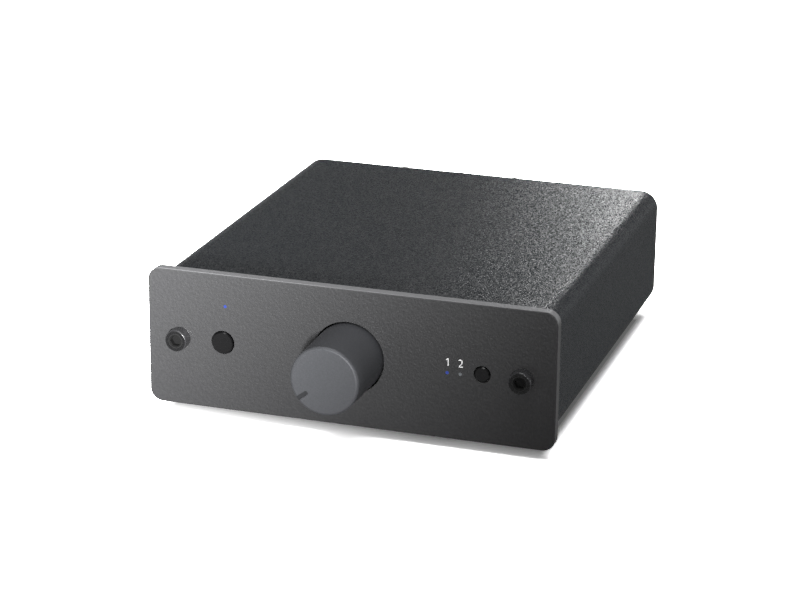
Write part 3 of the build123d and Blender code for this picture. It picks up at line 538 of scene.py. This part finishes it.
def shrink_sleeve(look):
    # Dark blue PVC shrink sleeve round an aluminium can, whose bare end shows on top.
    end_facing = 0.5  # the normal's Z over which a surface is the can's end
    material, tree, shader, place = finish("shrink_sleeve", IOR=1.5)
    normal = add(tree, "TexCoord").outputs["Normal"]
    up = add(tree, "SeparateXYZ", {"Vector": normal}).outputs["Z"]
    bare = add(tree, "Math", {0: up, 1: end_facing}, operation="GREATER_THAN").outputs["Value"]
    spread, tone = mottle(tree, place, 0.8 * MM, linear("#11152b"), linear("#1a2040"))
    base = add(tree, "Mix", {0: bare, 6: tone, 7: look.zinc}, data_type="RGBA")
    rough = add(tree, "MapRange", {"Value": spread, "To Min": 0.22, "To Max": 0.34})
    link(tree, shader, Base_Color=base.outputs[2], Metallic=bare, Roughness=rough.outputs["Result"])
    return material


def wound_core():
    # Ferrite drum with enamelled copper wire: dull grey flanges and, between them, close turns
    # of copper, drawn coarser than the real wire so that they show.
    wire_pitch = 0.3 * MM
    low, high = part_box("inductor")
    flange = (high.z - low.z) / 5
    material, tree, shader, place = finish("wound_core", Roughness=0.4)
    along = add(tree, "SeparateXYZ", {"Vector": place}).outputs["Z"]
    above = add(tree, "Math", {0: along, 1: low.z + flange}, operation="GREATER_THAN")
    below = add(tree, "Math", {0: along, 1: high.z - flange}, operation="LESS_THAN")
    waist = add(
        tree, "Math", {0: above.outputs["Value"], 1: below.outputs["Value"]}, operation="MULTIPLY"
    ).outputs["Value"]
    wire = add(
        tree,
        "TexWave",
        {"Vector": place, "Scale": WAVE_PERIOD / wire_pitch},
        wave_type="BANDS",
        bands_direction="Z",
    )
    copper = add(
        tree,
        "Mix",
        {0: wire.outputs["Fac"], 6: linear("#5a2a12"), 7: linear("#c06a35")},
        data_type="RGBA",
    )
    _, ferrite = mottle(tree, place, 0.5 * MM, linear("#2c2c2e"), linear("#3a3a3c"))
    base = add(tree, "Mix", {0: waist, 6: ferrite, 7: copper.outputs[2]}, data_type="RGBA")
    link(tree, shader, Base_Color=base.outputs[2], Metallic=waist)
    return material


# --- Meshes ----------------------------------------------------------------------------
def piece(name, bm, material, body):
    """Object from a bmesh that is already in its place, on a body."""
    mesh = bpy.data.meshes.new(name)
    bm.to_mesh(mesh)
    bm.free()
    mesh.materials.append(material)
    mesh.polygons.foreach_set("use_smooth", [False] * len(mesh.polygons))
    obj = bpy.data.objects.new(name, mesh)
    bpy.context.scene.collection.objects.link(obj)
    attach(obj, body)
    return obj


def along_y(x, y, z):
    """Turn a shape's own Z axis to Y and carry it to a place."""
    return Matrix.Translation((x, y, z)) @ Matrix.Rotation(math.radians(-90), 4, "X")


def digit_two():
    """Flat mesh of a plain 2 from the built-in letters, thinned a little."""
    thinning = 0.008
    curve = bpy.data.curves.new("two", "FONT")
    curve.body = "2"
    curve.resolution_u = 6
    curve.offset = -thinning
    source = bpy.data.objects.new("two", curve)
    bpy.context.scene.collection.objects.link(source)
    bpy.context.view_layer.update()
    flat = bpy.data.meshes.new_from_object(source)
    bpy.data.objects.remove(source)
    return flat


def digit_one():
    """Flat mesh of a plain 1: a stem with a flag that slopes down from its top."""
    # Everything is in parts of the digit's height.
    stem_left, stem_right = 0.16, 0.27
    flag_left, flag_right = -0.06, 0.19  # ends of the flag's upper edge
    flag_high, flag_low, crotch = 0.86, 0.75, 0.85  # the crotch is where the flag leaves the stem
    outline = (
        (stem_left, 0.0),
        (stem_right, 0.0),
        (stem_right, 1.0),
        (flag_right, 1.0),
        (flag_left, flag_high),
        (flag_left, flag_low),
        (stem_left, crotch),
    )
    bm = bmesh.new()
    bm.faces.new([bm.verts.new((x, y, 0)) for x, y in outline])
    flat = bpy.data.meshes.new("one")
    bm.to_mesh(flat)
    bm.free()
    return flat


def stand_digit(bm, flat, height, thickness, x, z):
    """Add a flat digit to a bmesh, standing on the front panel and facing forward."""
    known = set(bm.verts)
    bm.from_mesh(flat)
    bpy.data.meshes.remove(flat)
    verts = [v for v in bm.verts if v not in known]
    faces = [f for f in bm.faces if f.verts[0] not in known]
    low = Vector(min(v.co[i] for v in verts) for i in range(2))
    high = Vector(max(v.co[i] for v in verts) for i in range(2))
    centre = (low + high) / 2
    spot = Matrix.Translation((x, PANEL_FACE - thickness, z))
    upright = Matrix.Rotation(math.radians(90), 4, "X")
    fit = Matrix.Scale(height / (high.y - low.y), 4)
    centred = Matrix.Translation((-centre.x, -centre.y, 0))
    bmesh.ops.transform(bm, matrix=spot @ upright @ fit @ centred, verts=verts)
    sides = bmesh.ops.extrude_face_region(bm, geom=faces)
    rear = [v for v in sides["geom"] if isinstance(v, bmesh.types.BMVert)]
    bmesh.ops.translate(bm, vec=(0, thickness, 0), verts=rear)


def build_digits(look, marks):
    """Digits 1 and 2 over the input lights."""
    bm = bmesh.new()
    for flat, light, aside in (
        (digit_one(), "input_light_guide_1", 0),
        (digit_two(), "input_light_guide_2", marks.digit_spread),
    ):
        spot = middle(light)
        rise = spot.z + marks.digit_rise
        stand_digit(bm, flat, marks.digit_height, marks.ink_thickness, spot.x + aside, rise)
    bmesh.ops.recalc_face_normals(bm, faces=bm.faces)
    # Screen-printed epoxy ink: flat white, half matt, with the faint weave of its screen.
    ink = moulded_plastic("screen_ink", look.ink_white, 0.5, 0.2 * MM)
    piece("input_digits", bm, ink, "chassis")


def build_threaded_stud(look, marks):
    """M4 stud with a real thread and a hex flange, in place of the plain one."""
    panel_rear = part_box("rear_panel")[1].y
    flange_rear = panel_rear + marks.flange_thickness
    x, z = STUD_AXIS.x, STUD_AXIS.z
    root = marks.stud_radius - marks.thread_depth
    flange_radius = (STUD_HIGH.x - STUD_LOW.x) / 2
    bm = bmesh.new()
    for radius, sides, turned, front, rear in (
        (marks.stud_radius, marks.thread_steps, 0, STUD_LOW.y, panel_rear),
        (root, marks.thread_steps, 0, panel_rear, STUD_HIGH.y),
        (flange_radius, 6, 30, panel_rear, flange_rear),
    ):
        bmesh.ops.create_cone(
            bm,
            cap_ends=True,
            segments=sides,
            radius1=radius,
            radius2=radius,
            depth=rear - front,
            matrix=along_y(x, (front + rear) / 2, z)
            @ Matrix.Rotation(math.radians(turned), 4, "Z"),
        )
    sunk = root - 0.1 * marks.thread_depth  # the ridge's foot goes a little into the core
    run_out = 1.5  # turns of the thread that are left off at the stud's end
    profile = ((sunk, 0), (marks.stud_radius, marks.thread_pitch / 2), (sunk, marks.thread_pitch))
    ridge = bm.faces.new([bm.verts.new((x + out, flange_rear + on, z)) for out, on in profile])
    turns = (STUD_HIGH.y - flange_rear) / marks.thread_pitch - run_out
    steps = int(turns * marks.thread_steps)
    bmesh.ops.spin(
        bm,
        geom=[ridge, *ridge.edges, *ridge.verts],
        cent=(x, flange_rear, z),
        axis=(0, 1, 0),
        dvec=(0, marks.thread_pitch / marks.thread_steps, 0),
        angle=2 * math.pi * steps / marks.thread_steps,
        steps=steps,
        use_merge=False,
        use_duplicate=False,
        use_normal_flip=False,
    )
    bmesh.ops.holes_fill(bm, edges=[e for e in bm.edges if e.is_boundary], sides=3)
    bmesh.ops.recalc_face_normals(bm, faces=bm.faces)
    nickel = plated_metal("nickel_thread", look.nickel, 0.22, 0.5 * MM)
    stud = piece("threaded_stud", bm, nickel, "chassis")
    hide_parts("ground_stud")


# --- Stage -----------------------------------------------------------------------------
def build_floor(stage):
    """Sheet of grey paper that keeps a soft shadow by the preamp and burns out to white beyond."""
    bm = bmesh.new()
    bmesh.ops.create_grid(bm, x_segments=1, y_segments=1, size=stage.floor_reach)
    mesh = bpy.data.meshes.new("floor")
    bm.to_mesh(mesh)
    bm.free()
    floor = bpy.data.objects.new("floor", mesh)
    bpy.context.scene.collection.objects.link(floor)

    material = bpy.data.materials.new("floor_paper")
    material.use_nodes = True
    tree = material.node_tree
    tree.nodes.clear()
    place = add(tree, "TexCoord").outputs["Object"]

    # The paper's own white, which shows to the camera and in reflections but lights nothing
    # else: a little of it near the preamp, and all of it further away.
    away = add(tree, "VectorMath", {0: place}, operation="LENGTH").outputs["Value"]
    fade = add(
        tree,
        "MapRange",
        {
            "Value": away,
            "From Min": stage.shadow_reach,
            "From Max": 2 * stage.shadow_reach,
            "To Min": stage.floor_lift,
            "To Max": 1.0,
        },
        interpolation_type="SMOOTHSTEP",
    ).outputs["Result"]
    ray = add(tree, "LightPath").outputs
    seen = ray["Is Camera Ray"]
    for other in ("Is Glossy Ray", "Is Transmission Ray"):
        seen = add(tree, "Math", {0: seen, 1: ray[other]}, operation="MAXIMUM").outputs["Value"]
    strength = add(tree, "Math", {0: fade, 1: seen}, operation="MULTIPLY").outputs["Value"]

    # The camera sees the lit paper paler with its distance from a rectangle under the preamp.
    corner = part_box("case_sleeve")[1]
    front = PANEL_FACE + stage.front_inset
    rear = corner.y - stage.side_inset
    centre = (0, (front + rear) / 2, 0)
    half = (corner.x - stage.side_inset, (rear - front) / 2, 0)
    burn = (stage.side_burn, stage.front_burn, 1)
    reach = place
    for operation, other in (
        ("SUBTRACT", centre),
        ("ABSOLUTE", None),
        ("SUBTRACT", half),
        ("MAXIMUM", (0, 0, 0)),
        ("DIVIDE", burn),
    ):
        inputs = {0: reach} if other is None else {0: reach, 1: other}
        reach = add(tree, "VectorMath", inputs, operation=operation).outputs["Vector"]
    gap = add(tree, "VectorMath", {0: reach}, operation="LENGTH").outputs["Value"]
    gain = add(
        tree,
        "MapRange",
        {"Value": gap, "To Min": stage.floor_gain, "To Max": stage.floor_burn},
    ).outputs["Result"]
    lit = add(
        tree,
        "Mix",
        {0: ray["Is Camera Ray"], 6: stage.floor_grey, 7: gain},
        data_type="RGBA",
    )
    paper = add(tree, "BsdfDiffuse", {"Color": lit.outputs[2]})
    glow = add(tree, "Emission", {"Strength": strength})
    both = add(tree, "AddShader", {0: paper.outputs["BSDF"], 1: glow.outputs["Emission"]})
    add(tree, "OutputMaterial", {"Surface": both.outputs["Shader"]})
    mesh.materials.append(material)


def build_lamp(name, kind, watts, place, aim, **settings):
    """Lamp that stands at one place and points at another, both in metres."""
    data = bpy.data.lights.new(name, kind)
    data.energy = watts
    for key, value in settings.items():
        setattr(data, key, value)
    lamp = bpy.data.objects.new(name, data)
    turned = (Vector(aim) - Vector(place)).to_track_quat("-Z", "Y")
    lamp.matrix_world = Matrix.Translation(place) @ turned.to_matrix().to_4x4()
    bpy.context.scene.collection.objects.link(lamp)
    lamp.visible_camera = False


def build_world(stage):
    """World that is white up to a little over the horizon and dim above it."""
    white_top, dim_bottom = 0.13, 0.2  # heights of the direction, as parts of its length
    bounce = 0.5  # strength of the white for light that comes back off the pieces
    world = bpy.data.worlds.new("studio")
    bpy.context.scene.world = world
    world.use_nodes = True
    tree = world.node_tree
    direction = add(tree, "TexCoord").outputs["Generated"]
    height = add(tree, "SeparateXYZ", {"Vector": direction}).outputs["Z"]
    bounced = add(tree, "LightPath").outputs["Is Diffuse Ray"]
    low = add(
        tree, "MapRange", {"Value": bounced, "To Min": 1.0, "To Max": bounce}
    ).outputs["Result"]
    sky = add(
        tree,
        "MapRange",
        {
            "Value": height,
            "From Min": white_top,
            "From Max": dim_bottom,
            "To Min": low,
            "To Max": stage.sky_level,
        },
    )
    background = tree.nodes["Background"]
    tree.links.new(sky.outputs["Result"], background.inputs["Strength"])
    background.inputs["Color"].default_value = (1, 1, 1, 1)


def build_lamps(stage):
    """Broad light from above and three spots that fade from their middle to their edge."""
    spread = math.radians(42)
    build_lamp("overhead", "SUN", stage.overhead_level, (0.03, -0.06, 1.0), (0, 0, 0), angle=spread)
    for name, watts, place, aim, cone, radius in (
        ("side", stage.side_power, (0.80, 0.25, 0.10), (0.05, 0.0, 0.015), 40, 0.1),
        ("front", stage.front_power, (0.13, -0.80, 0.13), (-0.64, -0.05, 0.382), 90, 0.05),
        ("behind", stage.back_power, (-0.045, 0.627, 0.082), (0.101, 0.0, -0.008), 25.4, 0.05),
    ):
        build_lamp(
            name,
            "SPOT",
            watts,
            place,
            aim,
            spot_size=math.radians(cone),
            spot_blend=1.0,
            shadow_soft_size=radius,
        )


def build_camera(stage):
    """Camera with a long lens, over and to the right of the front panel."""
    data = bpy.data.cameras.new("camera")
    data.sensor_width = 36
    data.lens = stage.camera_lens
    data.clip_start = 0.01
    camera = bpy.data.objects.new("camera", data)
    camera.matrix_world = (
        Matrix.Translation(stage.camera_place)
        @ Matrix.Rotation(stage.camera_azimuth, 4, "Z")
        @ Matrix.Rotation(math.pi / 2 - stage.camera_elevation, 4, "X")
        @ Matrix.Rotation(stage.camera_roll, 4, "Z")
    )
    bpy.context.scene.collection.objects.link(camera)
    bpy.context.scene.camera = camera


# --- Operators -------------------------------------------------------------------------
class PREAMP_OT_case(Operator):
    """Coat the sleeve and both panels, and give the feet their rubber"""

    bl_idname = "preamp.case"
    bl_label = "Case and panels"

    def execute(self, context):
        look = context.scene.preamp_finish
        wear(sand_powder_coat(look), "case_sleeve", "rear_panel")
        wear(satin_panel_coat(look), "front_panel")
        wear(foot_rubber(look), "feet")
        return {"FINISHED"}


class PREAMP_OT_digits(Operator):
    """Print the digits over the two input lights"""

    bl_idname = "preamp.digits"
    bl_label = "Digits"

    def execute(self, context):
        build_digits(context.scene.preamp_finish, context.scene.preamp_marks)
        return {"FINISHED"}


class PREAMP_OT_controls(Operator):
    """Finish the gain knob, both buttons and the screws of the panels"""

    bl_idname = "preamp.controls"
    bl_label = "Knob, buttons and screws"

    def execute(self, context):
        look = context.scene.preamp_finish
        wear(anodised_knob(look), "gain_knob")
        # Glossy moulded ABS, a deep black with a small clear highlight.
        caps = moulded_plastic("button_plastic", look.button_black, 0.2, 0.25 * MM, 0.54)
        wear(caps, "power_button_cap", "selector_button_cap")
        for screws in ("front_panel_screws", "rear_panel_screws"):
            wear(black_oxide(look, screws), screws)
        return {"FINISHED"}


class PREAMP_OT_lights(Operator):
    """Light the power light and the first input light, and leave the second one off"""

    bl_idname = "preamp.lights"
    bl_label = "Lights"

    def execute(self, context):
        look = context.scene.preamp_finish
        lit = light_guide("lit_guide", shade(look.lit_blue, 0.4), look.lit_blue, 0.5)
        off = light_guide("unlit_guide", look.unlit_grey, look.unlit_grey, 0.0)
        wear(lit, "power_light_guide", "input_light_guide_1")
        wear(off, "input_light_guide_2")
        # Epoxy of the lamps on the board: milky and smooth.
        wear(moulded_plastic("led_body", look.left_white, 0.3, 0.3 * MM), "power_led", "input_leds")
        return {"FINISHED"}


class PREAMP_OT_sockets(Operator):
    """Plate the phono sockets, the power inlet and the USB socket, and colour their plastics"""

    bl_idname = "preamp.sockets"
    bl_label = "Sockets"

    def execute(self, context):
        look = context.scene.preamp_finish
        # Nickel over turned and drawn brass: a warm mirror that the tool's marks soften.
        nickel = plated_metal("nickel_plate", look.nickel, 0.2, 0.6 * MM)
        wear(nickel, "socket_shells", "dc_inlet_pin", "usb_shell")
        wear(plated_metal("spring_brass", look.brass, 0.25, 0.4 * MM), "socket_contacts")
        # Moulded nylon, satin, dyed white and red for the two channels, and black for housings.
        white = moulded_plastic("white_insulator", look.left_white, 0.42, 0.4 * MM)
        red = moulded_plastic("red_insulator", look.right_red, 0.42, 0.4 * MM)
        black = moulded_plastic("black_nylon", look.mould_black, 0.5, 0.4 * MM)
        wear(white, "left_insulators")
        wear(red, "right_insulators")
        wear(black, "phono_in_housing", "line_in_housing", "line_out_housing")
        wear(black, "dc_inlet_case", "usb_insert")
        return {"FINISHED"}


class PREAMP_OT_terminal(Operator):
    """Cut the thread of the ground terminal and plate its nuts, washer and tag"""

    bl_idname = "preamp.terminal"
    bl_label = "Ground terminal"

    def execute(self, context):
        look = context.scene.preamp_finish
        build_threaded_stud(look, context.scene.preamp_marks)
        # Nickel over turned brass, and a punched brass tag whose tin is too thin to hide it.
        nickel = plated_metal("nickel_hardware", look.nickel, 0.24, 0.5 * MM)
        wear(nickel, "ground_thumb_nut", "ground_washer", "ground_inner_nut")
        wear(plated_metal("tinned_tag", look.brass, 0.3, 0.5 * MM), "ground_tag")
        return {"FINISHED"}


class PREAMP_OT_boards(Operator):
    """Finish both boards, the strip between them, their brackets and their screws"""

    bl_idname = "preamp.boards"
    bl_label = "Boards and brackets"

    def execute(self, context):
        look = context.scene.preamp_finish
        wear(solder_mask("green_mask", look.mask_green), "main_board")
        # Painted shade: the upright board is black so the gap round the knob reads dark.
        wear(solder_mask("black_mask_gap_shade", look.front_mask_gap_shade), "front_board")
        wear(zinc_plate(look), "front_brackets", "rear_brackets", "board_screws")
        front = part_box("front_board")[1].y
        rear = front + HEADER_STRIP
        wear(
            leaded("header_pins", look.mould_black, look.zinc, "Y", front, rear, 0.5),
            "board_header",
        )
        return {"FINISHED"}


class PREAMP_OT_parts(Operator):
    """Finish the parts on the boards, the gain potentiometer and both switches"""

    bl_idname = "preamp.parts"
    bl_label = "Parts on the boards"

    def execute(self, context):
        look = context.scene.preamp_finish
        epoxy = look.mould_black
        tinned = linear("#c6c8ca")
        legs = BOARD_TOP + CHIP_LEG_TOP
        chip = leaded("epoxy_chip", epoxy, tinned, "Z", legs, NO_END, 0.55)
        wear(chip, "op_amps", "usb_chip", "converter_chip")
        low, high = BOARD_TOP + REGULATOR_LEGS, BOARD_TOP + REGULATOR_TOP
        wear(leaded("regulator_body", epoxy, tinned, "Z", low, high, 0.5), "regulators")
        # Potted polyester boxes of the film capacitors and the relays' glossier covers.
        wear(moulded_plastic("film_box", linear("#a81f1d"), 0.35, 0.5 * MM), "film_capacitors")
        wear(moulded_plastic("relay_case", linear("#d9dad3"), 0.32, 0.6 * MM), "relays")
        # Nickel-plated can of the crystal, drawn from sheet.
        wear(plated_metal("crystal_can", look.nickel, 0.22, 0.7 * MM), "crystal")
        wear(shrink_sleeve(look), "filter_capacitors")
        wear(wound_core(), "inductor")
        # Black nylon of the control and the switches, brown phenolic paper of the tracks' wafers,
        # white acetal of the plungers, and plated zinc on the control's turned shaft.
        black = moulded_plastic("control_body", look.mould_black, 0.5, 0.5 * MM)
        wafer = moulded_plastic("phenolic_wafer", linear("#6a4526"), 0.45, 0.8 * MM)
        acetal = moulded_plastic("acetal_plunger", linear("#e6e6e0"), 0.4, 0.4 * MM)
        wear(black, "gain_pot_case", "power_switch_case", "selector_switch_case")
        wear(black, "gain_pot_wipers")
        wear(wafer, "gain_pot_tracks")
        wear(acetal, "power_switch_plunger", "selector_switch_plunger")
        wear(plated_metal("turned_shaft", look.zinc, 0.3, 0.4 * MM), "gain_pot_shaft")
        return {"FINISHED"}


class PREAMP_OT_stage(Operator):
    """Lay the floor, hang the lamps and stand the camera"""

    bl_idname = "preamp.stage"
    bl_label = "Stage"

    def execute(self, context):
        stage = context.scene.preamp_stage
        build_camera(stage)
        build_floor(stage)
        build_world(stage)
        build_lamps(stage)
        context.scene.view_settings.view_transform = "Standard"
        return {"FINISHED"}


STEPS = (
    PREAMP_OT_stage,
    PREAMP_OT_case,
    PREAMP_OT_digits,
    PREAMP_OT_controls,
    PREAMP_OT_lights,
    PREAMP_OT_sockets,
    PREAMP_OT_terminal,
    PREAMP_OT_boards,
    PREAMP_OT_parts,
)


class PREAMP_PT_sidebar(Panel):
    """The preamp's settings and its steps, in the order in which they run"""

    bl_idname = "PREAMP_PT_sidebar"
    bl_label = "Phono preamp"
    bl_space_type = "VIEW_3D"
    bl_region_type = "UI"
    bl_category = "Preamp"

    def draw(self, context):
        for group in GROUPS:
            settings = getattr(context.scene, group)
            box = self.layout.box()
            for name in settings.__annotations__:
                box.prop(settings, name)
        for step in STEPS:
            self.layout.operator(step.bl_idname)


GROUPS = {"preamp_finish": PreampFinish, "preamp_marks": PreampMarks, "preamp_stage": PreampStage}


def register():
    for cls in (*GROUPS.values(), *STEPS, PREAMP_PT_sidebar):
        bpy.utils.register_class(cls)
    for name, group in GROUPS.items():
        setattr(bpy.types.Scene, name, PointerProperty(type=group))


def unregister():
    for name in GROUPS:
        delattr(bpy.types.Scene, name)
    for cls in (PREAMP_PT_sidebar, *reversed(STEPS), *reversed(list(GROUPS.values()))):
        bpy.utils.unregister_class(cls)


def main():
    register()
    bpy.ops.preamp.stage()
    bpy.ops.preamp.case()
    bpy.ops.preamp.digits()
    bpy.ops.preamp.controls()
    bpy.ops.preamp.lights()
    bpy.ops.preamp.sockets()
    bpy.ops.preamp.terminal()
    bpy.ops.preamp.boards()
    bpy.ops.preamp.parts()


if __name__ == "__main__":
    main()
